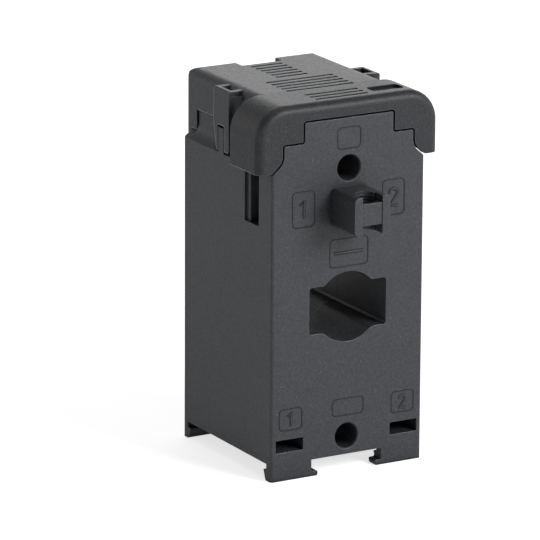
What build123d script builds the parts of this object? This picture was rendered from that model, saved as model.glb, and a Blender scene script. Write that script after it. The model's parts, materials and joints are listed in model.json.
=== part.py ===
"""Moulded-case current transformer with a bar-and-cable window, made to be fixed on a busbar.

X runs across the width, Y from the front face to the back and Z up from the feet. Every piece is
drawn with Y = 0 on the front face and is moved at the end, so that the origin lies in the middle
of the finished object's base. All sizes are in millimetres.
"""
import math
import os

from build123d import *

# Case
case_width = 45.0
case_depth = 46.6
foot_height = 4.5
side_wall = 2.2
front_wall = 2.4
back_wall = 2.4
corner_radius = 0.8

# Upper case, which the terminal cover closes over; each rise is measured from the shoulders
ramp_angle = 36.0
ramp_radius = 4.5
deck_rise = 4.9
deck_thickness = 1.6
tray_rise = 9.6
step_inset = 3.5
step_foot_rise = 3.0
step_rise = 7.3
step_blend = 4.0
step_edge = 0.4
crown_inset = 9.5
crown_rise = 12.8

# Primary window
window_height = 44.25
bar_slot_width = 22.8
bar_slot_height = 12.5
bar_slot_corner = 0.5
cable_radius = 9.35
window_top_blend = 1.2
window_bottom_blend = 3.0
tunnel_wall = 1.6
tunnel_split = 24.4
back_cable_step = 1.05

# Fixing holes and foot slots
hole_radius = 3.35
hole_wall = 1.4
hole_edge = 0.3
lower_hole_height = 9.45
upper_hole_drop = 0.43
foot_slot_width = 8.15
foot_slot_height = 3.35
foot_slot_foot = 7.65
foot_slot_inset = 1.4

# Feet
foot_width = 12.05
lip_reach = 1.85
lip_height = 1.4
lip_edge = 0.5
toe_reach = 1.5
toe_height = 2.9
toe_slant = 1.1
toe_edge = 0.8

# Holder for the screw that clamps a bar, in front of the case
holder_reach = 12.0
holder_width = 10.4
holder_height = 10.0
holder_drop = 15.3
holder_plate = 2.25
holder_web = 8.2
holder_bar = 2.0
holder_bar_height = 5.7
holder_bar_rise = 2.5
holder_bar_inset = 0.2
holder_screw_radius = 2.5
holder_screw_reach = 8.4
holder_corner = 1.2

# Terminal cover
hood_overhang = 4.1
hood_depth = 15.2
hood_corner = 8.5
hood_wall = 1.8
hood_front = 2.0
hood_edge = 2.2
hood_rim = 0.6
cover_inset = 2.5
cover_overhang = 3.6
cover_rise = 4.7
cover_wall = 1.5
cover_top = 1.8
cover_edge = 3.5
cover_back_corner = 2.0
cover_back_edge = 1.8
cover_inner_corner = 0.4
cover_gap = 0.3
seam = 0.5
notch_width = 12.0
notch_depth = 5.2
notch_height = 7.3
notch_corner = 2.0
hatch_inset = 1.0
hatch_margin = 6.2
hatch_drop = 9.8
hatch_recess = 0.4
rib_groove = 1.3
rib_pitch = 2.6
rib_depth = 0.8
rib_halves = (4.7, 9.9, 7.8)
rib_insets = (7.6, 24.7, 40.9)
rib_counts = (6, 5, 3)
pad_width = 9.4
pad_length = 4.8
pad_depth = 0.7
pad_inset = 12.25
pad_place = 6.6
pad_corner = 1.4

# Snap latches of the cover
latch_front = 22.8
latch_width = 7.8
latch_wall = 1.3
latch_drop = 0.4
latch_edge = 0.7
latch_post = 10.0
latch_gap = 3.4
latch_rib = 2.7
latch_rib_drop = 0.7
latch_room = 0.4
latch_flare = 2.4
latch_flare_drop = 1.6
latch_hollow = 2.0
latch_taper = 1.5

# Wire ways and terminals
well_front = 5.9
well_length = 7.2
well_width = 6.6
well_inset = 7.9
well_clearance = 0.75
well_wall = 1.4
ledge = 1.0
wire_slot = 5.4
wire_step = 2.0
wire_step_depth = 0.6
tongue_width = 4.6
tongue_thickness = 1.0
tongue_rise = 7.3
shoulder_rise = 7.4
tab_drop = 6.0
bar_bend = 0.8
cage_length = 6.4
cage_wall = 1.0
cage_crown = 2.0
cage_corner = 0.8
wire_room = 4.0
screw_radius = 1.95
screw_head_radius = 2.7
screw_head_height = 2.2
screw_slot = 0.8
screw_slot_depth = 1.0
block_lip = 2.4
clamp_travel = 2.8
clamp_clearance = 0.3
slack = 0.1

# Magnetic parts
core_room = 1.6
core_corner = 1.5
cap_wall = 0.5
coil_build = 1.0
tape = 0.3
core_slack = 0.2
foam_inset = 0.3
foam_thickness = 2.6
wire_radius = 0.45
wire_sides = 8
wire_bend = 1.2
lead_reach = 2.45

# Seam between the two halves of the case
plate_drop = 1.0
plate_lip = 1.2
plate_lip_reach = 2.4
plate_lip_rise = 10.5
plate_lip_drop = 6.4

# How far a cut runs past the surface that it opens, and how near counts as the same place
past = 1.0
near = 0.01

# Widths and depths that follow from the sizes above
case_half = case_width / 2
back_plane = case_depth - back_wall
hood_half = case_half + hood_overhang
cover_half = case_half - cover_inset
cover_back = case_depth + cover_overhang
upper_half = cover_half - cover_wall - cover_gap
step_half = case_half - step_inset
crown_half = case_half - crown_inset
latch_back = latch_front + latch_width
latch_middle = latch_front + latch_width / 2
hatch_front = latch_back + hatch_inset
hatch_back = cover_back - hatch_margin
well_side = case_half - well_inset
well_back = well_front + well_length
well_middle = well_front + well_length / 2
tower_back = well_back + ledge + well_wall
tower_inner = well_side - well_width / 2 - well_wall
cage_width = well_length - 2 * slack
core_half_width = bar_slot_width / 2 + tunnel_wall + core_slack + cap_wall
core_half_height = (
    cable_radius + back_cable_step + tunnel_wall + core_slack + tape + coil_build + cap_wall
)
core_build = case_half - side_wall - core_room - cap_wall - core_half_width
foam_rim = core_build - foam_inset
core_middle = (front_wall + back_plane) / 2
coil_edge = core_middle - front_wall - foam_thickness
core_depth = 2 * (coil_edge - tape - coil_build - cap_wall)
coil_length = 2 * (core_half_width - core_corner - core_slack)

# Heights that follow, from the window upwards: core, terminals, shoulders, upper case and cover
coil_head = window_height + core_half_height + core_build + cap_wall + coil_build + tape
well_foot = coil_head + well_clearance + well_wall
tongue_height = well_foot + tongue_rise
cage_foot = tongue_height - wire_room - cage_wall
cage_head = tongue_height + tongue_thickness + slack + cage_crown
ledge_height = cage_head + clamp_travel + clamp_clearance
head_foot = ledge_height + block_lip
shoulder_height = tongue_height + shoulder_rise
upper_hole_height = shoulder_height - upper_hole_drop
holder_foot = shoulder_height - holder_drop
deck_height = shoulder_height + deck_rise
deck_top = deck_height + deck_thickness
tray_height = shoulder_height + tray_rise
step_height = shoulder_height + step_rise
crown_height = shoulder_height + crown_rise
hood_foot = shoulder_height + seam
cover_height = crown_height + cover_rise
hatch_height = cover_height - hatch_drop
latch_skirt = cover_height - latch_post
latch_foot = hood_foot + cover_gap


def outline(corners):
    """Closed outline through (across, up, radius) corners; a radius of 0 stays sharp."""
    shape = Polygon(*[(across, up) for across, up, _ in corners], align=None)
    for across, up, radius in corners:
        if radius:
            shape = fillet(shape.vertices().sort_by_distance((across, up, 0))[0], radius)
    return shape


def mirrored(left):
    """Outline that is the same on both sides, from the corners of its left half, upwards."""
    return outline(left + [(-across, up, radius) for across, up, radius in reversed(left)])


def slab(shape, front, back):
    """Solid of an outline drawn across X and Z, from one depth to another."""
    plane = Plane((0, back, 0), x_dir=(1, 0, 0), z_dir=(0, -1, 0))
    return extrude(plane * shape, back - front, dir=(0, -1, 0))


def rail(shape, low, high):
    """Solid of an outline drawn across Y and Z, from one X to another."""
    plane = Plane((low, 0, 0), x_dir=(0, 1, 0), z_dir=(1, 0, 0))
    return extrude(plane * shape, high - low, dir=(1, 0, 0))


def tower(shape, low, high):
    """Solid of an outline drawn across X and Y, from one height to another."""
    return extrude(Pos(0, 0, low) * shape, high - low, dir=(0, 0, 1))


def block(across, along, up):
    """Box between the low and high limits on X, Y and Z."""
    limits = (across, along, up)
    middle = [(low + high) / 2 for low, high in limits]
    return Pos(*middle) * Box(*[high - low for low, high in limits])


def rod_y(radius, front, back, up):
    """Round bar on the centre plane, along Y."""
    return Pos(0, (front + back) / 2, up) * Rot(90, 0, 0) * Cylinder(radius, back - front)


def rod_z(radius, across, along, low, high):
    """Round bar standing up."""
    return Pos(across, along, (low + high) / 2) * Cylinder(radius, high - low)


def both_sides(piece):
    """The piece with its mirror image across the centre plane."""
    return piece + mirror(piece, Plane.YZ)


def case_section(top, half):
    """Section of the case behind its front wall: sides, hollowed shoulders and upper walls."""
    ramp_top = shoulder_height + (case_half - half) * math.tan(math.radians(ramp_angle))
    return mirrored([
        (-case_half, foot_height, 0),
        (-case_half, shoulder_height, 0),
        (-half, ramp_top, ramp_radius),
        (-half, top, 0),
    ])


def face_outline():
    """The front wall's outline, stepped in three stages above the shoulders."""
    return mirrored([
        (-case_half, foot_height, 0),
        (-case_half, shoulder_height, 0),
        (-step_half, shoulder_height + step_foot_rise, step_blend),
        (-step_half, step_height, step_edge),
        (-crown_half, step_height, 2 * step_edge),
        (-crown_half, crown_height, step_edge),
    ])


def window_outline(radius):
    """A slot for a flat bar, crossed by a round hole for a cable."""
    bar = chamfer(Rectangle(bar_slot_width, bar_slot_height).vertices(), bar_slot_corner)
    shape = bar + Circle(radius)
    noses = [v for v in shape.vertices() if abs(math.hypot(v.X, v.Y) - radius) < near]
    for nose in noses:
        blend = window_top_blend if nose.Y > 0 else window_bottom_blend
        shape = fillet(shape.vertices().sort_by_distance(nose.center())[0], blend)
    return Pos(0, window_height) * shape


def tunnel_outline(radius):
    """The outside of the wall around the window."""
    slot = Rectangle(bar_slot_width + 2 * tunnel_wall, bar_slot_height + 2 * tunnel_wall)
    return Pos(0, window_height) * (slot + Circle(radius + tunnel_wall))


def foot_slot_outline(wall=0.0):
    """The two flat sockets beside the lower hole, or the walls around them."""
    across = case_half - foot_slot_inset - foot_slot_width / 2
    up = foot_slot_foot + foot_slot_height / 2
    one = Rectangle(foot_slot_width + 2 * wall, foot_slot_height + 2 * wall)
    return Pos(-across, up) * one + Pos(across, up) * one


def foot():
    """A left front foot, with a lip towards the middle and a toe towards the back."""
    inner = case_half - foot_width
    tip = inner - lip_reach
    toe_tip = front_wall + toe_reach
    side = outline([
        (0, 0, 0),
        (toe_tip - toe_slant, 0, toe_edge),
        (toe_tip, toe_height, lip_edge / 2),
        (front_wall, toe_height, 0),
        (front_wall, foot_height + side_wall, 0),
        (0, foot_height + side_wall, 0),
    ])
    face = outline([
        (-case_half, 0, 0),
        (-tip, 0, lip_edge),
        (-tip, lip_height, lip_edge),
        (-inner, lip_height, lip_edge),
        (-inner, foot_height + side_wall, 0),
        (-case_half, foot_height + side_wall, 0),
    ])
    return rail(side, -case_half, -tip) & slab(face, 0, toe_tip)


def ease_holes(part, depth):
    """The part with its two fixing holes bevelled at one face."""
    edges = [
        edge
        for edge in part.edges().filter_by(GeomType.CIRCLE)
        if abs(edge.radius - hole_radius) < near and abs(edge.center().Y - depth) < near
    ]
    return chamfer(edges, hole_edge)


def ease_corners(part, depth):
    """The part with its two long upright corners rounded at one face."""
    edges = [
        edge
        for edge in part.edges().filter_by(Axis.Z)
        if abs(edge.center().Y - depth) < near and abs(abs(edge.center().X) - case_half) < near
    ]
    return fillet(edges, corner_radius)


def holder():
    """Two plates, a web and a cross bar that hold a clamping screw upright."""
    half = holder_width / 2
    inner = half - holder_plate
    top = holder_foot + holder_height
    plate = outline([
        (-half, holder_foot, holder_corner),
        (-half, top, holder_corner),
        (-inner, top, 0),
        (-inner, holder_foot, 0),
    ])
    web = block((-inner, inner), (-holder_web, front_wall), (holder_foot, top))
    bar_front = -holder_reach + holder_bar_inset
    bar_foot = holder_foot + holder_bar_rise
    bar_height = (bar_foot, bar_foot + holder_bar_height)
    bar = block((-inner, inner), (bar_front, bar_front + holder_bar), bar_height)
    frame = both_sides(slab(plate, -holder_reach, front_wall)) + web + bar
    return frame - rod_z(holder_screw_radius, 0, -holder_screw_reach, holder_foot, top)


def terminal_well(side):
    """Room for one terminal: a narrow shaft for the cage, a wider seat above it, a wire slot."""
    across = (side * well_side - well_width / 2, side * well_side + well_width / 2)
    shaft = block(across, (well_front, well_back), (well_foot, crown_height))
    seat = block(across, (well_front - ledge, well_back + ledge), (ledge_height, crown_height))
    slot_side = sorted((side * well_side, side * (case_half + past)))
    slot = block(
        slot_side,
        (well_middle - wire_slot / 2, well_middle + wire_slot / 2),
        (well_foot, ledge_height),
    )
    step_side = sorted((side * (case_half - wire_step_depth), side * (case_half + past)))
    step = block(
        step_side,
        (well_middle + wire_slot / 2, well_middle + wire_slot / 2 + wire_step),
        (well_foot, shoulder_height),
    )
    bar_slot = block(
        sorted((side * well_side, side * (tower_inner - past))),
        (well_middle - tongue_width / 2 - slack / 2, well_middle + tongue_width / 2 + slack / 2),
        (tongue_height - slack / 2, tongue_height + tongue_thickness + slack / 2),
    )
    return shaft + seat + slot + step + bar_slot


def front_housing():
    """The case: front wall, sides, deck, terminal wells, half the tunnel and the front feet."""
    face = ease_corners(slab(face_outline(), 0, front_wall) + both_sides(foot()), 0)

    room = offset(case_section(tray_height + cover_height, upper_half), -side_wall)
    below = room & Pos(0, deck_height / 2) * Rectangle(case_width, deck_height)
    above = room & Pos(0, deck_top + cover_height / 2) * Rectangle(case_width, cover_height)
    case = slab(case_section(tray_height, upper_half), front_wall, back_plane)
    case -= slab(below, front_wall, back_plane)
    case -= slab(above, front_wall, back_plane - side_wall)
    case += face

    tower_half = case_half - tower_inner
    tower_area = Pos(-tower_inner - tower_half / 2, (well_foot - well_wall + step_height) / 2)
    tower_area *= Rectangle(tower_half, step_height - well_foot + well_wall)
    tower_area = face_outline() & (tower_area + mirror(tower_area, Plane.YZ))
    case += slab(tower_area, front_wall, tower_back)

    case += slab(foot_slot_outline(foot_slot_inset), front_wall, back_plane)
    case += slab(tunnel_outline(cable_radius), front_wall, tunnel_split)
    for height in (lower_hole_height, upper_hole_height):
        case += rod_y(hole_radius + hole_wall, front_wall, back_plane, height)
    case += holder()

    case -= slab(window_outline(cable_radius), -past, tunnel_split + past)
    case -= slab(foot_slot_outline(), -past, back_plane + past)
    for height in (lower_hole_height, upper_hole_height):
        case -= rod_y(hole_radius, -past, back_plane + past, height)
    for side in (-1, 1):
        case -= terminal_well(side)
        case -= latch_recess(side)
        case += latch_guide(side) + hatch_pad(side)
    return ease_holes(case, 0)


def latch_recess(side):
    """Pocket in the shoulder that one latch's legs drop into."""
    inner = case_half - latch_wall - latch_room
    return block(
        sorted((side * inner, side * (case_half + past))),
        (latch_front - latch_room, latch_back + latch_room),
        (latch_foot - latch_room, tray_height),
    )


def latch_guide(side):
    """Upright rib between one latch's legs, flush with the side of the case."""
    return block(
        sorted((side * (cover_half + cover_gap), side * case_half)),
        (latch_middle - latch_rib / 2, latch_middle + latch_rib / 2),
        (latch_foot - side_wall, latch_skirt - latch_rib_drop),
    )


def hatch_pad(side):
    """Thicker part of the upper wall that fills the hatch in the cover's side, nearly flush."""
    section = case_section(hatch_height - cover_gap, cover_half - hatch_recess)
    pad = slab(section, hatch_front + cover_gap, hatch_back - cover_gap)
    outside = sorted((side * (upper_half - side_wall / 2), side * case_half))
    return pad & block(outside, (hatch_front, hatch_back), (shoulder_height, hatch_height))


def rear_plate():
    """The back of the case, with its half of the tunnel, side lips and the rear feet."""
    back_radius = cable_radius + back_cable_step
    plate = slab(case_section(tray_height - plate_drop, upper_half), back_plane, case_depth)
    middle = Plane((0, case_depth / 2, 0), z_dir=(0, 1, 0))
    plate += both_sides(mirror(foot(), middle))
    plate = ease_corners(plate, case_depth)
    plate += slab(tunnel_outline(back_radius), tunnel_split + slack, case_depth)
    lip_outer = case_half - side_wall - slack
    lip = block(
        (lip_outer - plate_lip, lip_outer),
        (back_plane - plate_lip_reach, back_plane),
        (foot_height + plate_lip_rise, shoulder_height - plate_lip_drop),
    )
    plate += both_sides(lip)
    plate -= slab(window_outline(back_radius), tunnel_split, case_depth + past)
    plate -= slab(foot_slot_outline(), back_plane - past, case_depth + past)
    for height in (lower_hole_height, upper_hole_height):
        plate -= rod_y(hole_radius, back_plane - past, case_depth + past, height)
    return ease_holes(plate, case_depth)


def cover_plan(wall, front):
    """Plan of the cover behind the hood, set in by a wall, with the notch in its back."""
    half = cover_half - wall
    back = cover_back - wall
    notch = notch_width / 2 + wall
    corner = max(cover_back_corner - wall, cover_inner_corner)
    return mirrored([
        (-half, front, 0),
        (-half, back, corner),
        (-notch, back, notch_corner),
        (-notch, back - notch_depth, cover_inner_corner),
    ])


def cover_box():
    """The part of the cover behind the hood, as a rounded solid."""
    front = hood_depth - hood_wall
    section = mirrored([(-cover_half, hood_foot, 0), (-cover_half, cover_height, cover_edge)])
    profile = outline([
        (front, hood_foot, 0),
        (cover_back, hood_foot, 0),
        (cover_back, cover_height, cover_back_edge),
        (front, cover_height, 0),
    ])
    plan = tower(cover_plan(0, front), hood_foot, cover_height)
    return slab(section, front, cover_back) & rail(profile, -cover_half, cover_half) & plan


def latch(side):
    """One latch: a pocket-shaped post on the cover's side, split into two legs below."""
    outer = case_half
    inner = cover_half - cover_wall / 2
    deep = cover_half - cover_edge
    top = cover_height - latch_drop
    webs = block((-outer, -deep), (latch_front, latch_front + latch_wall), (latch_skirt, top))
    webs += block((-outer, -deep), (latch_back - latch_wall, latch_back), (latch_skirt, top))
    webs -= tower(cover_plan(cover_wall, hood_front), 0, cover_height - cover_top)
    flare = outline([
        (-outer, latch_front, 0),
        (-outer, latch_front + latch_wall, 0),
        (-inner, latch_front + latch_wall, 0),
        (-inner, latch_front - latch_flare, 0),
        (-cover_half, latch_front - latch_flare, 0),
        (-cover_half, latch_front, latch_hollow),
    ])
    face = outline([
        (latch_front, latch_foot, step_edge),
        (latch_front, top, 0),
        (latch_back, top, 0),
        (latch_back, latch_skirt, 0),
        (latch_back - latch_taper, latch_foot, step_edge),
    ])
    plate = rail(face, -outer, -outer + latch_wall)
    plate -= block(
        (-outer - past, 0),
        (latch_middle - latch_gap / 2, latch_middle + latch_gap / 2),
        (latch_foot - past, latch_skirt),
    )
    post = webs + plate
    edge = post.edges().filter_by(Axis.Y).group_by(Axis.Z)[-1].sort_by(Axis.X)[0]
    post = fillet(edge, latch_edge) + tower(flare, latch_skirt, cover_height - latch_flare_drop)
    return post if side < 0 else mirror(post, Plane.YZ)


def edges_around(hood, depth):
    """The hood's edges at its front or its back, but not along its foot."""
    return [
        edge
        for edge in hood.edges()
        if abs(edge.center().Y - depth) < near and edge.center().Z > hood_foot + near
    ]


def terminal_cover():
    """The cap over the terminals: a deep hood in front, a box behind and a latch on each side."""
    hood_shape = mirrored([(-hood_half, hood_foot, 0), (-hood_half, cover_height, hood_corner)])
    hood = slab(hood_shape, 0, hood_depth)
    hood = fillet(edges_around(hood, 0), hood_edge)
    hood = chamfer(edges_around(hood, hood_depth), hood_rim)
    cover = hood + cover_box()

    room_top = cover_height - cover_top
    hood_room = mirrored([
        (-hood_half + hood_wall, 0, 0),
        (-hood_half + hood_wall, room_top, hood_corner - hood_wall),
    ])
    cover -= slab(hood_room, hood_front, hood_depth - hood_wall)
    cover -= tower(cover_plan(cover_wall, hood_front), 0, room_top)
    notch_half = notch_width / 2 + cover_wall
    notch_front = cover_back - notch_depth - cover_wall
    cover -= block(
        (-notch_half, notch_half),
        (notch_front - past, cover_back - cover_wall),
        (0, cover_height - notch_height),
    )
    case_room = offset(case_section(tray_height, upper_half), cover_gap)
    cover -= slab(case_room, hood_front, case_depth + cover_gap)
    cover -= slab(offset(face_outline(), seam), -past, hood_front + past)
    cover -= slab(offset(face_outline(), cover_gap), hood_front, tower_back + cover_gap)
    for side in (-1, 1):
        cover -= block(
            sorted((side * upper_half, side * (cover_half + past))),
            (hatch_front, hatch_back),
            (0, hatch_height),
        )
        cover += latch(side)
        cover -= latch_channel(side)

    for half, inset, count in zip(rib_halves, rib_insets, rib_counts):
        for index in range(count):
            middle = cover_back - inset - index * rib_pitch
            cover -= block(
                (-half, half),
                (middle - rib_groove / 2, middle + rib_groove / 2),
                (cover_height - rib_depth, cover_height + past),
            )
    place = Pos(hood_half - pad_inset, pad_place)
    recess = place * RectangleRounded(pad_width, pad_length, pad_corner)
    return cover - tower(recess, cover_height - pad_depth, cover_height + past)


def latch_channel(side):
    """Shaft behind one latch plate, open at the top and the bottom."""
    return block(
        sorted((side * (case_half - latch_wall), side * (cover_half - cover_wall / 2))),
        (latch_front + latch_wall, latch_back - latch_wall),
        (0, cover_height + past),
    )


def terminal_block(side):
    """Insulating block that seats on the well's ledge and guides the clamp screw's head."""
    half = well_width / 2 - slack
    middle = side * well_side
    body = block(
        (middle - half, middle + half),
        (well_front - ledge + slack, well_back + ledge - slack),
        (ledge_height, step_height - seam),
    )
    body -= rod_z(screw_head_radius + slack, middle, well_middle, head_foot, step_height)
    return body - rod_z(screw_radius + slack, middle, well_middle, 0, step_height)


def contact_bar(side):
    """Current bar: a tongue through the cage and a tab inside for the winding's lead."""
    inner = tower_inner - tongue_thickness
    bar = block(
        (inner, well_side + well_width / 2),
        (well_middle - tongue_width / 2, well_middle + tongue_width / 2),
        (tongue_height, tongue_height + tongue_thickness),
    )
    tab = block(
        (inner, tower_inner),
        (well_middle - tongue_width / 2, well_middle + tongue_width / 2),
        (tongue_height - tab_drop, tongue_height + tongue_thickness),
    )
    bar += tab
    bend = [
        edge
        for edge in bar.edges().filter_by(Axis.Y)
        if abs(edge.center().X - inner) < near
        and abs(edge.center().Z - tongue_height - tongue_thickness) < near
    ]
    bar = fillet(bend, bar_bend)
    return bar if side > 0 else mirror(bar, Plane.YZ)


def clamp_cage(side):
    """Steel box around the tongue, with the wire room below it and a thread in its crown."""
    middle = side * well_side
    half = cage_length / 2
    front = well_middle - cage_width / 2
    back = well_middle + cage_width / 2
    frame = outline([
        (front, cage_foot, cage_corner),
        (back, cage_foot, cage_corner),
        (back, cage_head, 0),
        (front, cage_head, 0),
    ])
    frame -= outline([
        (front + cage_wall, cage_foot + cage_wall, 0),
        (back - cage_wall, cage_foot + cage_wall, 0),
        (back - cage_wall, cage_head - cage_crown, 0),
        (front + cage_wall, cage_head - cage_crown, 0),
    ])
    cage = rail(frame, middle - half, middle + half)
    thread_foot = cage_head - cage_crown - past
    return cage - rod_z(screw_radius + slack / 2, middle, well_middle, thread_foot, cage_head + past)


def clamp_screw(side):
    """Slotted screw that turns in the block and draws the cage up."""
    middle = side * well_side
    tip = tongue_height + tongue_thickness
    head_top = head_foot + screw_head_height
    shank = rod_z(screw_radius, middle, well_middle, tip, head_foot)
    head = rod_z(screw_head_radius, middle, well_middle, head_foot, head_top)
    drive = block(
        (middle - screw_head_radius, middle + screw_head_radius),
        (well_middle - screw_slot / 2, well_middle + screw_slot / 2),
        (head_top - screw_slot_depth, head_top + past),
    )
    return shank + head - drive


def square_ring(inward, outward, front, back):
    """Square-cornered ring around the window, by distances from the core's inner edge."""
    outer = Rectangle(2 * (core_half_width + outward), 2 * (core_half_height + outward))
    inner = Rectangle(2 * (core_half_width - inward), 2 * (core_half_height - inward))
    return slab(Pos(0, window_height) * (outer - inner), front, back)


def wound_core():
    """Strip of silicon steel wound into a rounded frame around the window."""
    front = core_middle - core_depth / 2
    inner = RectangleRounded(2 * core_half_width, 2 * core_half_height, core_corner)
    outer = RectangleRounded(
        2 * (core_half_width + core_build),
        2 * (core_half_height + core_build),
        core_corner + core_build,
    )
    return slab(Pos(0, window_height) * (outer - inner), front, front + core_depth)


def core_cap(side):
    """Insulating channel over the front half or the back half of the core."""
    edge = core_middle + side * (core_depth / 2 + cap_wall)
    centre = core_middle + side * slack
    return square_ring(cap_wall, core_build + cap_wall, *sorted((edge, centre))) - wound_core()


def limb_tube(side, wall, build):
    """Tube with cut corners around the upper or lower limb of the core, from layer to layer."""
    middle = window_height + side * (core_half_height + core_build / 2)
    depth = core_depth + 2 * cap_wall + 2 * wall
    height = core_build + 2 * cap_wall + 2 * wall
    outside = chamfer(Rectangle(depth + 2 * build, height + 2 * build).vertices(), wall + build)
    inside = Rectangle(depth, height)
    if wall:
        inside = chamfer(inside.vertices(), wall)
    return rail(Pos(core_middle, middle) * (outside - inside), -coil_length / 2, coil_length / 2)


def wire(points):
    """Wire along straight runs joined by arcs, with flat sides in place of a round section."""
    path = FilletPolyline(*points, radius=wire_bend)
    section = RegularPolygon(wire_radius, wire_sides, major_radius=False, rotation=180 / wire_sides)
    return sweep(Plane(path @ 0, z_dir=path % 0) * section, path)


def lead(side):
    """One end of the winding, from the upper coil up to the contact bar's tab."""
    across = tower_inner - tongue_thickness - wire_radius
    up = coil_head + wire_radius
    return wire([
        (side * (across - lead_reach), well_middle, up),
        (side * across, well_middle, up),
        (side * across, well_middle, tongue_height - tongue_thickness),
    ])


def coil_link():
    """The wire that joins the upper coil to the lower one, down the front of the right limb."""
    middle = core_half_height + core_build / 2
    out = core_half_width + core_build / 2
    front = core_middle - core_depth / 2 - cap_wall - wire_radius
    start = coil_length / 2
    return wire([
        (start, front, window_height + middle),
        (out, front, window_height + middle),
        (out, front, window_height - middle),
        (start, front, window_height - middle),
    ])


def core_pad(side):
    """Foam ring between the coils and the case's front or back wall."""
    near_end = core_middle + side * coil_edge
    return square_ring(0, foam_rim, *sorted((near_end, near_end + side * foam_thickness)))


pieces = {
    "front_housing": front_housing(),
    "rear_plate": rear_plate(),
    "terminal_cover": terminal_cover(),
    "wound_core": wound_core(),
    "core_cap_front": core_cap(-1),
    "core_cap_rear": core_cap(1),
    "coil_top": limb_tube(1, 0, coil_build),
    "coil_bottom": limb_tube(-1, 0, coil_build),
    "coil_tape_top": limb_tube(1, coil_build, tape),
    "coil_tape_bottom": limb_tube(-1, coil_build, tape),
    "coil_link": coil_link(),
    "core_pad_front": core_pad(-1),
    "core_pad_rear": core_pad(1),
}
for name, side in (("left", -1), ("right", 1)):
    pieces[f"terminal_block_{name}"] = terminal_block(side)
    pieces[f"contact_bar_{name}"] = contact_bar(side)
    pieces[f"clamp_cage_{name}"] = clamp_cage(side)
    pieces[f"clamp_screw_{name}"] = clamp_screw(side)
    pieces[f"lead_{name}"] = lead(side)

os.makedirs("parts", exist_ok=True)
to_base_middle = Pos(0, (holder_reach - cover_back) / 2, 0)
for name, piece in pieces.items():
    export_step(to_base_middle * piece, f"parts/{name}.step")
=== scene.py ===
"""Looks of a moulded-case current transformer over its CAD frame: finishes, marks and studio."""
import json
import math

import bmesh
import bpy
from mathutils import Matrix, Vector


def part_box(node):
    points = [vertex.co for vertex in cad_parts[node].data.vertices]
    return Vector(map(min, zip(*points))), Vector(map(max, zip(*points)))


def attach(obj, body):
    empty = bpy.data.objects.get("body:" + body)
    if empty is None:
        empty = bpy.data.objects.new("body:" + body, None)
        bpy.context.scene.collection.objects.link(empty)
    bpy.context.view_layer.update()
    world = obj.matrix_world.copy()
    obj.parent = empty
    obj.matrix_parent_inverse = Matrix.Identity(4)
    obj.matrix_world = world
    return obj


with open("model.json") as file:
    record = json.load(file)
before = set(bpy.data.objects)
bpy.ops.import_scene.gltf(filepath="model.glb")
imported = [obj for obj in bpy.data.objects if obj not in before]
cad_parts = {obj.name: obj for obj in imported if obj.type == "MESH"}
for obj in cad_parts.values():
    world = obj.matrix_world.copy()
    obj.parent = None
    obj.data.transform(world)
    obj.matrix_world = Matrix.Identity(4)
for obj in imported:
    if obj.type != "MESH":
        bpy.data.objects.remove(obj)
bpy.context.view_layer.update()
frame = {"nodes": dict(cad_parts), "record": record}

mm = 0.001

# Places on the case and the cover, in metres
case_low, case_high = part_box("front_housing")
cover_low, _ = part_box("terminal_cover")
holder_reach = 12.0 * mm
face_y = case_low.y + holder_reach
seam_y = case_high.y
hood_depth = 15.2 * mm
hood_back_y = cover_low.y + hood_depth

# Camera, fitted to the photograph: angles in degrees, lengths in metres, sensor in millimetres
photo_pixels = 540
focal_pixels = 5176.4
sensor_width = 36.0
view_azimuth = 29.747
view_elevation = 15.730
view_roll = 0.312
view_distance = 1.3144
view_target = Vector((-23.05, -19.1, 57.0)) * mm

# Moulded plastic: sizes of its grain, its painted edge highlights and its painted shade, in metres
mottle_size = 6.0 * mm
speck_size = 0.55 * mm
grain_rise = 0.085 * mm
plastic_edge = 0.25 * mm
groove_reach = 1.2 * mm
corner_reach = 9.0 * mm
seam_width = 0.35 * mm
seam_end = 0.45 * mm
hood_shade_fade = 0.1 * mm

# Moulded plastic: flecks as a multiple of the grain, and tones as multiples of the colour
fleck_ratio = 1.8
dark_fleck, light_fleck = 0.72, 1.28
speck_tone = 3.5
catch_tone = 18.0

# Moulded plastic: shares, from 0 to 1
fleck_share, mottle_share = 0.75, 0.25
speck_share = 0.7
edge_highlight_share = 0.8
corner_shade = 0.65
full_edge_highlight_and_polish = 0.55
plain_gloss = 0.42
gloss_swing = 0.15
roughness_swing = 0.16
edge_roughness = 0.25

# Bands in which a value of a texture or a surface takes effect
same_way, other_way = 0.995, 0.93
groove_open = 0.3
outer_open = {"start": 0.75, "end": 0.95}
turn_band = {"start": 0.12, "end": 0.5}
fleck_band = {"start": 0.36, "end": 0.64}
sparkle_band = {"start": 0.4, "end": 0.6}
speck_band = {"start": 0.71, "end": 0.8}
upward_band = {"start": 0.7, "end": 0.95}
ceiling_band = {"start": 0.3, "end": 0.5}

# Grain of the other materials, in metres, and the period of a wave texture of scale 1
metal_edge = 0.15 * mm
scratch_size = 0.12 * mm
scratch_rise = 0.004 * mm
metal_cloud = 1.6 * mm
layer_cloud = 1.2 * mm
cell_size = 0.45 * mm
cell_rise = 0.08 * mm
wave_period = math.pi / 10

# Marks on the front, in metres; a bead's profile is in shares of its width and rise. The frames and
# the numerals' outlines are near-black painted shade, and a frame's line is wider at its right and
# foot than at its left and top, as a painted shadow
groove_width = 0.42 * mm
groove_rise = 0.1 * mm
outline_width = 1.0 * mm
stroke_width = 0.5 * mm
stroke_rise = 0.2 * mm
frame_corner = 1.1 * mm
frame_steps = 6
frame_share, frame_swing = 0.72, 0.2
bead_profile = ((-0.5, 0.25), (-0.28, -0.8), (0.0, -1.0), (0.28, -0.8), (0.5, 0.25))

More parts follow.
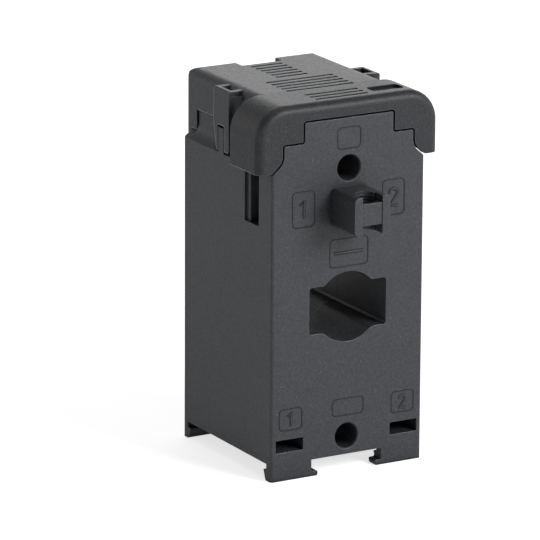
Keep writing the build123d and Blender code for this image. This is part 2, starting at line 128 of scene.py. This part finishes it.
# Thread in the holder's screw way, in metres; its profile is in shares of its depth and pitch
thread_y = face_y - 8.4 * mm
thread_low, thread_high = 66.5 * mm, 75.7 * mm
thread_pitch = 0.8 * mm
thread_radius = 2.5 * mm
thread_depth = 0.22 * mm
thread_sink = 0.02 * mm
thread_share = 0.9
thread_steps = 14
thread_profile = ((0.0, -0.5), (-1.0, 0.0), (0.0, 0.5))

# Studio: lengths in metres, and lamps by place, size and power in watts
floor_reach = 6.0
floor_level = -0.02 * mm
floor_glow = 0.2
floor_shown = 0.71
floor_tone = (0.8, 0.8, 0.8, 1.0)
white = (1.0, 1.0, 1.0, 1.0)
lamp_target = Vector((0.0, 0.0, 0.05))
lamps = {
    "key": ((0.44, -0.78, 0.56), 0.45, 8.5),
    "top": ((0.1, 0.35, 0.9), 0.7, 1.5),
    "rim": ((0.55, 0.95, 0.36), 0.5, 1.0),
}
shading_samples = 8


def new_material(name):
    """A new material, its node tree and its shader."""
    material = bpy.data.materials.new(name)
    material.use_nodes = True
    return material, material.node_tree, material.node_tree.nodes["Principled BSDF"]


def connect(tree, node, inputs):
    """Sets a node's inputs, each given as a value or as a socket to link."""
    for socket, value in inputs.items():
        if isinstance(value, bpy.types.NodeSocket):
            tree.links.new(value, node.inputs[socket])
        else:
            node.inputs[socket].default_value = value


def add(tree, kind, inputs=None, **settings):
    """A new node of a kind, with its settings and inputs."""
    node = tree.nodes.new(kind)
    for key, value in settings.items():
        setattr(node, key, value)
    connect(tree, node, inputs or {})
    return node


def place(tree, stretch=(1.0, 1.0, 1.0)):
    """The point on the object, in metres, stretched along the axes."""
    where = add(tree, "ShaderNodeTexCoord").outputs["Object"]
    return add(tree, "ShaderNodeMapping", {"Vector": where, "Scale": stretch}).outputs["Vector"]


def axes(tree, vector):
    """A vector's parts, by axis."""
    return add(tree, "ShaderNodeSeparateXYZ", {"Vector": vector}).outputs


def noise(tree, where, size, detail=2.0, roughness=0.5):
    """Noise with features of about one size, in metres."""
    return add(
        tree,
        "ShaderNodeTexNoise",
        {"Vector": where, "Scale": 1.0 / size, "Detail": detail, "Roughness": roughness},
    ).outputs["Fac"]


def ranged(tree, value, low, high, start=0.0, end=1.0):
    """A value from the range start to end, spread over the range low to high and clamped."""
    limits = {"From Min": start, "From Max": end, "To Min": low, "To Max": high}
    return add(tree, "ShaderNodeMapRange", {"Value": value, **limits}).outputs["Result"]


def calculated(tree, operation, *values):
    """The result of a calculation with numbers or sockets."""
    return add(
        tree, "ShaderNodeMath", dict(enumerate(values)), operation=operation
    ).outputs["Value"]


def mixed(tree, share, first, second):
    """A number between two, each given as a number or a socket."""
    return add(
        tree, "ShaderNodeMix", {"Factor": share, "A": first, "B": second}
    ).outputs["Result"]


def mixed_colour(tree, share, first, second):
    """A colour between two, each given as red, green and blue or as a socket."""
    first, second = (
        colour if isinstance(colour, bpy.types.NodeSocket) else (*colour, 1.0)
        for colour in (first, second)
    )
    return add(
        tree, "ShaderNodeMix", {"Factor": share, "A": first, "B": second}, data_type="RGBA"
    ).outputs["Result"]


def scaled(colour, factor):
    """A colour made lighter or darker."""
    return tuple(part * factor for part in colour)


def round_edges(tree, radius):
    """Normal of slightly rounded edges, and how near to an edge a point is, from 0 to 1."""
    rounded = add(
        tree, "ShaderNodeBevel", {"Radius": radius}, samples=shading_samples
    ).outputs["Normal"]
    flat = add(tree, "ShaderNodeNewGeometry").outputs["Normal"]
    match = add(tree, "ShaderNodeVectorMath", {0: rounded, 1: flat}, operation="DOT_PRODUCT")
    return rounded, ranged(tree, match.outputs["Value"], 0.0, 1.0, start=same_way, end=other_way)


def bumped(tree, height, rise, strength, inputs=None, invert=False):
    """Normal of a surface that rises with a height, over the normal that the inputs may give."""
    return add(
        tree,
        "ShaderNodeBump",
        {"Height": height, "Distance": rise, "Strength": strength, **(inputs or {})},
        invert=invert,
    ).outputs["Normal"]


def openness(tree, reach):
    """How open a point lies, from 0 deep in a groove or a corner to 1 on a free face."""
    return add(
        tree, "ShaderNodeAmbientOcclusion", {"Distance": reach}, samples=shading_samples
    ).outputs["AO"]


def turned_away(tree, normal):
    """How far a rounded edge turns down or back, where it catches the light of the floor."""
    parts = axes(tree, normal)
    turn = calculated(tree, "SUBTRACT", parts["Y"], parts["Z"])
    return ranged(tree, turn, 0.0, 1.0, **turn_band)


def away_from_seam(tree, along):
    """0 at the seam between the case and its back, which shows no painted edge highlight, and 1
    elsewhere.
    """
    distance = calculated(tree, "ABSOLUTE", calculated(tree, "SUBTRACT", along, seam_y))
    return ranged(tree, distance, 0.0, 1.0, start=seam_width, end=seam_end)


def grained_colour(tree, where, flecks, colour):
    """A plastic's colour with its flecks and a faint flow mottling."""
    mottle = ranged(tree, noise(tree, where, mottle_size, detail=4.0), 0.0, mottle_share)
    contrast = ranged(tree, flecks, 0.0, 1.0, **fleck_band)
    share = calculated(tree, "MULTIPLY_ADD", contrast, fleck_share, mottle)
    return mixed_colour(tree, share, scaled(colour, dark_fleck), scaled(colour, light_fleck))


def moulded(name, colour, grain=0.34 * mm, roughness=0.44, edge_highlight_tone=5.0, shade=0.5,
            edge_highlight_and_polish=full_edge_highlight_and_polish, catch=0.0, hood_front_shade=1.0):
    """Spark-eroded plastic: coarse grain, faint flow mottling, painted highlights on edges, painted
    shade in corners.
    """
    material, tree, shader = new_material(name)
    where = place(tree)
    along = axes(tree, where)["Y"]
    fine = noise(tree, where, grain, detail=3.0, roughness=0.65)
    flecks = noise(tree, where, grain * fleck_ratio, detail=3.0, roughness=0.6)
    rounded, near_edge = round_edges(tree, plastic_edge)

    # Grooves and corners get painted shade in their colour and gloss, and so does the hood's part
    # of the cover
    narrow = openness(tree, groove_reach)
    wide = openness(tree, corner_reach)
    open_share = calculated(
        tree,
        "MULTIPLY",
        ranged(tree, narrow, shade, 1.0, start=groove_open),
        ranged(tree, wide, corner_shade, 1.0),
    )
    # The hood's part of the cover gets painted shade, faded in at the hood's back
    if hood_front_shade < 1.0:
        painted_hood_shade = ranged(tree, along, hood_front_shade, 1.0, start=hood_back_y, end=hood_back_y + hood_shade_fade)
        open_share = calculated(tree, "MULTIPLY", open_share, painted_hood_shade)

    # Outer edges get a painted highlight in a paler colour, and are smoother and glossier
    outer_edge = calculated(
        tree, "MULTIPLY", near_edge, ranged(tree, narrow, 0.0, edge_highlight_and_polish, **outer_open)
    )
    outer_edge = calculated(tree, "MULTIPLY", outer_edge, away_from_seam(tree, along))

    tint = grained_colour(tree, where, flecks, colour)
    edge_highlight = ranged(tree, outer_edge, 0.0, edge_highlight_share)
    tint = mixed_colour(tree, edge_highlight, tint, scaled(colour, edge_highlight_tone))
    # Rounded edges turned down or back get a painted highlight of the floor's light
    painted_floor_highlight = calculated(
        tree,
        "MULTIPLY",
        ranged(tree, outer_edge, 0.0, catch, end=full_edge_highlight_and_polish),
        turned_away(tree, rounded),
    )
    tint = mixed_colour(tree, painted_floor_highlight, tint, scaled(colour, catch_tone))
    specks = ranged(
        tree, noise(tree, where, speck_size, detail=1.0), 0.0, speck_share, **speck_band
    )
    tint = mixed_colour(tree, specks, tint, scaled(colour, speck_tone))
    # The colour is darkened by the painted shade of grooves, corners and the hood
    tint = add(
        tree, "ShaderNodeVectorMath", {"Vector": tint, "Scale": open_share}, operation="SCALE"
    ).outputs["Vector"]

    # The gloss sparkles with the grain on faces that look up
    upward = ranged(tree, axes(tree, rounded)["Z"], 0.08, 0.8, **upward_band)
    sparkle = ranged(
        tree, flecks, plain_gloss - gloss_swing, plain_gloss + gloss_swing, **sparkle_band
    )
    gloss = calculated(tree, "MULTIPLY", mixed(tree, upward, plain_gloss, sparkle), open_share)
    dull = ranged(tree, fine, roughness - roughness_swing, roughness + roughness_swing)
    connect(tree, shader, {
        "Base Color": tint,
        "Roughness": mixed(tree, outer_edge, dull, edge_roughness),
        "Specular IOR Level": mixed(tree, outer_edge, gloss, 1.0),
        "Normal": bumped(tree, fine, grain_rise, 0.8, {"Normal": rounded}),
    })
    return material


def plated(name, colour, roughness, stretch):
    """Plated or drawn metal, with fine scratches along one axis and a painted highlight on its
    edges.
    """
    material, tree, shader = new_material(name)
    scratches = noise(tree, place(tree, stretch), scratch_size, detail=3.0)
    cloud = noise(tree, place(tree), metal_cloud, detail=3.0)
    rounded, near_edge = round_edges(tree, metal_edge)
    tint = mixed_colour(tree, cloud, scaled(colour, 0.85), scaled(colour, 1.08))
    connect(tree, shader, {
        # Edges are up to a quarter lighter: a painted highlight
        "Base Color": mixed_colour(
            tree, ranged(tree, near_edge, 0.0, 0.5), tint, scaled(colour, 1.25)
        ),
        "Roughness": ranged(tree, scratches, roughness - 0.1, roughness + 0.1),
        "Normal": bumped(tree, scratches, scratch_rise, 0.6, {"Normal": rounded}),
        "Metallic": 1.0,
    })
    return material


def layered(name, dark, light, step, axis, roughness, metallic=0.0, coat=0.0, rise=0.03 * mm):
    """Turns or layers side by side along one axis, such as wire, strip or wound tape."""
    material, tree, shader = new_material(name)
    where = place(tree)
    turns = add(
        tree,
        "ShaderNodeTexWave",
        {"Vector": where, "Scale": wave_period / step, "Distortion": 0.0},
        wave_type="BANDS",
        bands_direction=axis,
        wave_profile="SIN",
    ).outputs["Fac"]
    cloud = noise(tree, where, layer_cloud, detail=3.0)
    share = calculated(tree, "MULTIPLY", turns, ranged(tree, cloud, 0.75, 1.15))
    connect(tree, shader, {
        "Base Color": mixed_colour(tree, share, dark, light),
        "Roughness": ranged(tree, cloud, roughness - 0.06, roughness + 0.06),
        "Normal": bumped(tree, turns, rise, 1.0),
        "Metallic": metallic,
        "Coat Weight": coat,
    })
    return material


def foam(name, colour):
    """Closed-cell foam: small soft cells."""
    material, tree, shader = new_material(name)
    cells = add(
        tree, "ShaderNodeTexVoronoi", {"Vector": place(tree), "Scale": 1 / cell_size}
    ).outputs["Distance"]
    connect(tree, shader, {
        "Base Color": mixed_colour(tree, cells, scaled(colour, 1.25), scaled(colour, 0.7)),
        "Roughness": 0.9,
        "Normal": bumped(tree, cells, cell_rise, 0.7, invert=True),
    })
    return material


# Finishes by material slot, with the marks' own one, whose near-black is painted shade
charcoal = (0.0385, 0.0408, 0.0462)
# In the moulded finishes, the numbers for edges, corners and the hood set painted highlights and
# painted shade
finishes = {
    "case_plastic": moulded("case_plastic", charcoal, edge_highlight_tone=3.0, edge_highlight_and_polish=0.35),
    "cover_plastic": moulded(
        "cover_plastic", scaled(charcoal, 0.95), shade=0.1, catch=1.0, hood_front_shade=0.72
    ),
    "painted_mark_shade": moulded(
        "painted_mark_shade", scaled(charcoal, 0.3), grain=0.12 * mm, roughness=0.55, edge_highlight_and_polish=0.0
    ),
    "block_plastic": moulded(
        "block_plastic", (0.25, 0.255, 0.26), grain=0.15 * mm, edge_highlight_tone=1.3
    ),
    "cap_plastic": moulded("cap_plastic", (0.62, 0.60, 0.53), grain=0.18 * mm, edge_highlight_tone=1.2),
    "cage_steel": plated("cage_steel", (0.60, 0.60, 0.57), 0.34, (1.0, 1.0, 0.06)),
    "screw_steel": plated("screw_steel", (0.68, 0.67, 0.63), 0.28, (1.0, 1.0, 0.1)),
    "contact_metal": plated("contact_metal", (0.74, 0.70, 0.62), 0.3, (0.06, 1.0, 1.0)),
    "core_steel": layered(
        "core_steel", (0.16, 0.165, 0.18), (0.45, 0.46, 0.48), 0.3 * mm, "Y", 0.4, metallic=1.0
    ),
    "coil_copper": layered(
        "coil_copper", (0.22, 0.055, 0.02), (0.72, 0.25, 0.09), 0.5 * mm, "X", 0.3,
        metallic=0.6, coat=0.6, rise=0.12 * mm,
    ),
    "coil_tape": layered(
        "coil_tape", (0.55, 0.36, 0.05), (0.72, 0.52, 0.10), 6.0 * mm, "X", 0.42, coat=0.2
    ),
    "pad_foam": foam("pad_foam", (0.05, 0.05, 0.055)),
}


def dress_nodes():
    """Gives each CAD node the finish of its material slot."""
    for part in frame["record"]["subparts"]:
        node = frame["nodes"][part["node"]]
        node.data.materials.clear()
        node.data.materials.append(finishes[part["material_slot"]])


def new_piece(name, mesh, finish, body="case"):
    """A piece of the object from a bmesh, riding on a body."""
    bmesh.ops.recalc_face_normals(mesh, faces=mesh.faces)
    data = bpy.data.meshes.new(name)
    mesh.to_mesh(data)
    mesh.free()
    data.materials.append(finishes[finish])
    piece = bpy.data.objects.new(name, data)
    bpy.context.scene.collection.objects.link(piece)
    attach(piece, body)


def sweep(mesh, rings, closed):
    """Joins rings of vertices with faces, and caps the ends of an open row."""
    following_rings = rings[1:] + rings[:1] if closed else rings[1:]
    for ring, following in zip(rings, following_rings):
        for step in range(len(ring)):
            turn = (step + 1) % len(ring)
            mesh.faces.new((ring[step], ring[turn], following[turn], following[step]))
    if not closed:
        mesh.faces.new(rings[0])
        mesh.faces.new(list(reversed(rings[-1])))


def bead(points, width, rise, closed=False):
    """A low rounded bead along points on the front; a closed one is wider at its right and foot, as
    a painted shadow.
    """
    mesh = bmesh.new()
    count = len(points)
    rings = []
    for index, point in enumerate(points):
        before = points[index - 1] if closed or index else point
        after = points[(index + 1) % count] if closed or index < count - 1 else point
        along = (after - before).normalized()
        across = Vector((along.z, 0.0, -along.x))
        if closed:
            across *= frame_share + frame_swing * (across.x - across.z)
        rings.append([
            mesh.verts.new(point + across * side * width + Vector((0.0, up * rise, 0.0)))
            for side, up in bead_profile
        ])
    sweep(mesh, rings, closed)
    return mesh


def rounded_frame(centre_x, centre_z, width, height):
    """Points of a rounded rectangle on the front face, in metres, from millimetres."""
    points = []
    for turn, (side, up) in enumerate(((1, 1), (-1, 1), (-1, -1), (1, -1))):
        middle = Vector((
            centre_x * mm + side * (width * mm / 2 - frame_corner),
            face_y,
            centre_z * mm + up * (height * mm / 2 - frame_corner),
        ))
        for step in range(frame_steps + 1):
            angle = math.radians(90) * (turn + step / frame_steps)
            points.append(middle + Vector((math.cos(angle), 0.0, math.sin(angle))) * frame_corner)
    return points


# Frames of the marks: centre across, centre up, width and height, in millimetres
mark_frames = {
    "frame_top": (0.0, 88.9, 6.8, 5.6),
    "frame_left": (-13.3, 71.6, 6.5, 9.4),
    "frame_right": (13.3, 71.6, 6.5, 9.4),
    "frame_middle": (0.2, 58.7, 11.3, 7.4),
    "frame_low_left": (-16.7, 16.3, 6.7, 5.7),
    "frame_low_middle": (0.3, 17.3, 9.3, 4.5),
    "frame_low_right": (16.7, 16.3, 6.7, 5.7),
}

# Strokes in the frames: corners in shares of the stroke's size, and that size in millimetres
numeral_one = ((-0.45, 0.5), (0.05, 1.0), (0.05, -1.0))
numeral_two = (
    (-0.55, 0.45), (-0.4, 0.85), (0.0, 1.0), (0.42, 0.83), (0.52, 0.45), (0.3, 0.05),
    (-0.55, -1.0), (0.6, -1.0),
)
divider = ((-1.0, 0.0), (1.0, 0.0))
mark_strokes = {
    "frame_left": (numeral_one, 2.3),
    "frame_right": (numeral_two, 2.3),
    "frame_low_left": (numeral_one, 1.7),
    "frame_low_right": (numeral_two, 1.7),
    "frame_middle": (divider, 4.3),
}


def marks():
    """The marks' frames, with plain numerals at the terminals and a divider in the middle one."""
    for name, sizes in mark_frames.items():
        outline = rounded_frame(*sizes)
        # Each frame is a near-black bead: painted shade along the mark's relief
        new_piece(name, bead(outline, groove_width, groove_rise, closed=True), "painted_mark_shade")
    for name, (corners, size) in mark_strokes.items():
        across, up, _, _ = mark_frames[name]
        points = [
            Vector(((across + size * side) * mm, face_y, (up + size * rise) * mm))
            for side, rise in corners
        ]
        stroke, outline = (name.replace("frame", kind) for kind in ("stroke", "outline"))
        new_piece(stroke, bead(points, stroke_width, stroke_rise), "case_plastic")
        # Under each raised stroke lies a wider near-black outline: a painted shadow around the
        # numeral
        new_piece(outline, bead(points, outline_width, groove_rise), "painted_mark_shade")


def threads():
    """Half-round thread ridges in the holder's screw way."""
    centre = Vector((0.0, thread_y, 0.0))
    mesh = bmesh.new()
    for turn in range(int((thread_high - thread_low) / thread_pitch)):
        rings = []
        for step in range(thread_steps + 1):
            angle = math.pi * step / thread_steps
            height = thread_low + thread_pitch * (turn + 0.5 + 0.5 * step / thread_steps)
            outward = Vector((math.cos(angle), math.sin(angle), 0.0))
            rings.append([
                mesh.verts.new(
                    centre
                    + outward * (thread_radius + depth * thread_depth + thread_sink)
                    + Vector((0.0, 0.0, height + rise * thread_pitch * thread_share))
                )
                for depth, rise in thread_profile
            ])
        sweep(mesh, rings, closed=False)
    new_piece("holder_thread", mesh, "case_plastic")


def floor():
    """A plain white floor that keeps the object's shadow."""
    mesh = bpy.data.meshes.new("floor")
    sides = ((-1, -1), (1, -1), (1, 1), (-1, 1))
    corners = [(floor_reach * across, floor_reach * along, floor_level) for across, along in sides]
    mesh.from_pydata(corners, [], [(0, 1, 2, 3)])
    piece = bpy.data.objects.new("floor", mesh)
    bpy.context.scene.collection.objects.link(piece)
    material, tree, shader = new_material("floor_white")
    connect(tree, shader, {"Base Color": floor_tone, "Roughness": 0.9, "Specular IOR Level": 0.0})
    seen = add(tree, "ShaderNodeLightPath").outputs["Is Camera Ray"]
    strength = ranged(tree, seen, floor_glow, floor_shown)
    glow = add(tree, "ShaderNodeEmission", {"Color": white, "Strength": strength})
    both = add(
        tree, "ShaderNodeAddShader", {0: shader.outputs["BSDF"], 1: glow.outputs["Emission"]}
    )
    connect(tree, tree.nodes["Material Output"], {"Surface": both.outputs["Shader"]})
    mesh.materials.append(material)


def sky(fill, shown, dark):
    """An even world for its light, and a white backdrop with a darker ceiling in reflections."""
    world = bpy.data.worlds.new("studio")
    bpy.context.scene.world = world
    world.use_nodes = True
    tree = world.node_tree
    path = add(tree, "ShaderNodeLightPath").outputs
    height = axes(tree, add(tree, "ShaderNodeTexCoord").outputs["Generated"])["Z"]
    mirrored = ranged(tree, height, shown, dark, **ceiling_band)
    strength = mixed(
        tree, path["Is Camera Ray"], mixed(tree, path["Is Glossy Ray"], fill, mirrored), 1.0
    )
    connect(tree, tree.nodes["Background"], {"Color": white, "Strength": strength})


def softbox(name, location, size, power):
    """A square soft lamp that looks at the object."""
    light = bpy.data.lights.new(name, "AREA")
    light.shape = "SQUARE"
    light.size = size
    light.energy = power
    lamp = bpy.data.objects.new(name, light)
    lamp.location = location
    lamp.rotation_euler = (lamp_target - Vector(location)).to_track_quat("-Z", "Y").to_euler()
    bpy.context.scene.collection.objects.link(lamp)


def photo_camera():
    """The camera at the photograph's viewing angle."""
    azimuth, elevation, roll = (
        math.radians(angle) for angle in (view_azimuth, view_elevation, view_roll)
    )
    ahead = Vector((
        math.sin(azimuth) * math.cos(elevation),
        math.cos(azimuth) * math.cos(elevation),
        -math.sin(elevation),
    ))
    level = Vector((math.cos(azimuth), -math.sin(azimuth), 0.0))
    upright = level.cross(ahead)
    right = level * math.cos(roll) + upright * math.sin(roll)
    up = upright * math.cos(roll) - level * math.sin(roll)
    data = bpy.data.cameras.new("camera")
    data.sensor_width = sensor_width
    data.lens = focal_pixels / photo_pixels * sensor_width
    data.clip_start = 0.05
    data.clip_end = 50.0
    camera = bpy.data.objects.new("camera", data)
    turn = Matrix((right, up, -ahead)).transposed().to_4x4()
    camera.matrix_world = Matrix.Translation(view_target - ahead * view_distance) @ turn
    bpy.context.scene.collection.objects.link(camera)
    bpy.context.scene.camera = camera


photo_camera()
dress_nodes()
marks()
threads()
floor()
sky(fill=0.22, shown=1.1, dark=0.08)
for name, (location, size, power) in lamps.items():
    softbox(name, location, size, power)
bpy.context.scene.view_settings.view_transform = "Standard"
